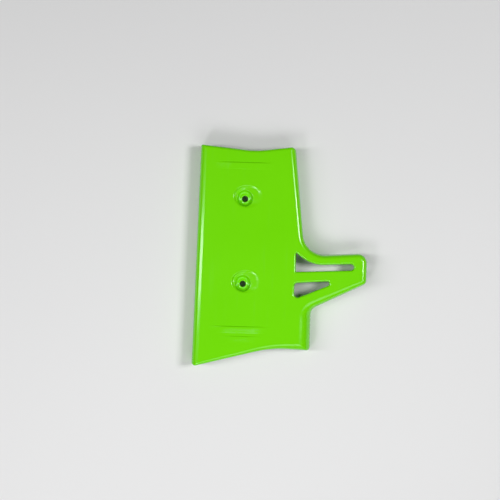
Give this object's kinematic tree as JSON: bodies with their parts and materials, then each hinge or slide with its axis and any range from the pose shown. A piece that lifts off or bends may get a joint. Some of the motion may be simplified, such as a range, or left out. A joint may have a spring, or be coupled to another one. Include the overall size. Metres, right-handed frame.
{
  "type": "moulded guard panel",
  "caption": "Channel-shaped plastic guard panel with dished bolt wells, steel compression collars and a slotted side arm.",
  "frame": {"origin": "middle of the line between the two bolt holes, on the plane of the collars' feet", "axes": "+Y along the bolt line towards the upper end, +X towards the slotted arm, +Z out of the glossy face"},
  "size_m": [0.1839, 0.2336, 0.0268],
  "materials": {
    "green_moulding": "high gloss, moulded in colour",
    "plated_steel": "zinc plated, satin"
  },
  "bodies": {
    "root": {"cover_moulding": "green_moulding", "upper_collar": "plated_steel", "lower_collar": "plated_steel"}
  },
  "joints": []
}
